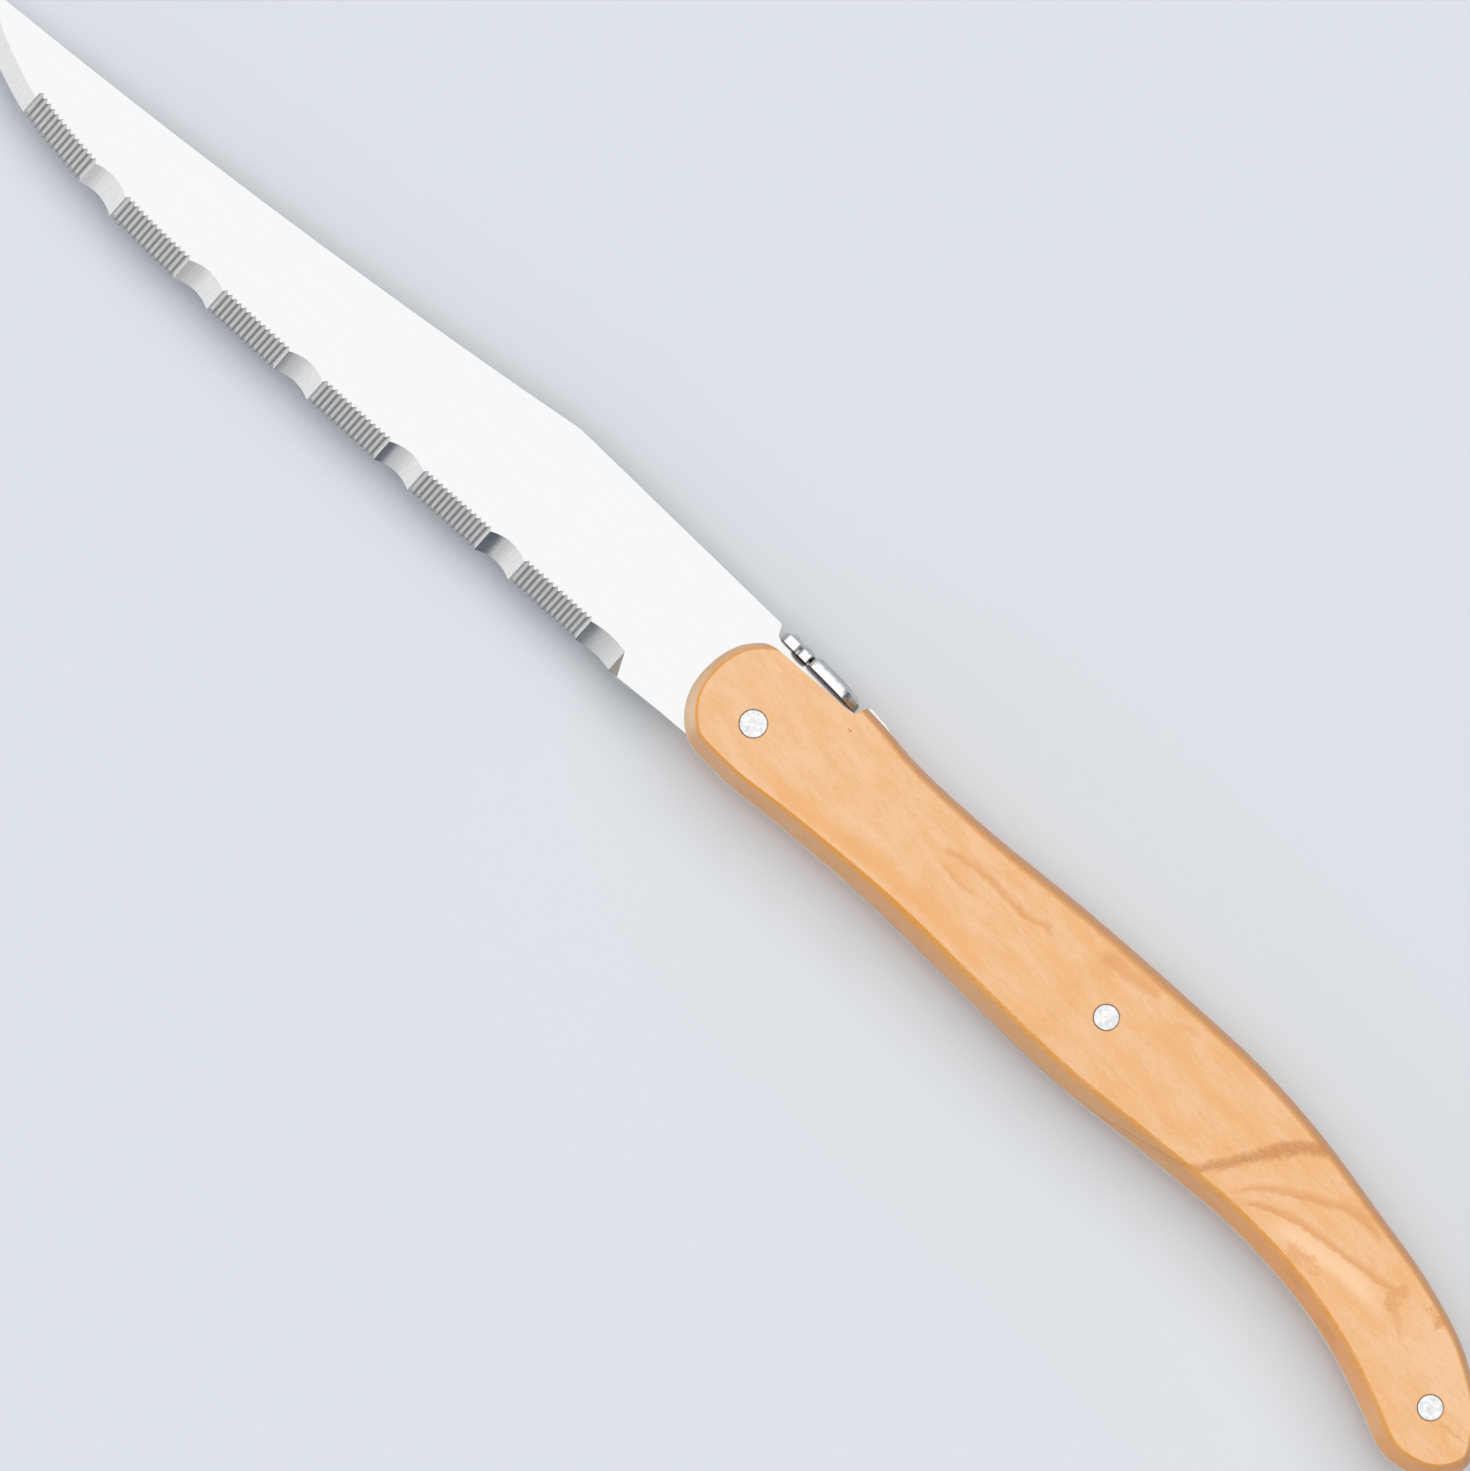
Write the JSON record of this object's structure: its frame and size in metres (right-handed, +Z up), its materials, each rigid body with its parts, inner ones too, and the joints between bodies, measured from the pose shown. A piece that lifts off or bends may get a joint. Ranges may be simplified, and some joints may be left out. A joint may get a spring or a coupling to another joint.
{
  "type": "steak knife",
  "caption": "Steak knife with a serrated, pointed steel blade, a full tang and riveted wooden scales that curve to a drooping butt, with a small metal bee on the back.",
  "frame": {"origin": "middle of the knife's bounding box on the table that it lies on, at the level of the lower scale's outer face", "axes": "+X along the knife from the tip of the blade to the butt, +Y from the cutting edge towards the spine, +Z up, through the handle's thickness from the right scale to the left scale and the ground face of the blade"},
  "size_m": [0.23, 0.0246, 0.0111],
  "materials": {
    "blade_steel": "polished faces, ground bevel",
    "olive_wood": "smooth, oiled, fine lengthwise grain with darker streaks",
    "bee_metal": "stamped and polished",
    "rivet_metal": "peened, slightly hammered"
  },
  "bodies": {
    "root": {"blade": "blade_steel", "left_scale": "olive_wood", "right_scale": "olive_wood", "bee": "bee_metal", "front_rivet": "rivet_metal", "middle_rivet": "rivet_metal", "butt_rivet": "rivet_metal"}
  },
  "joints": []
}
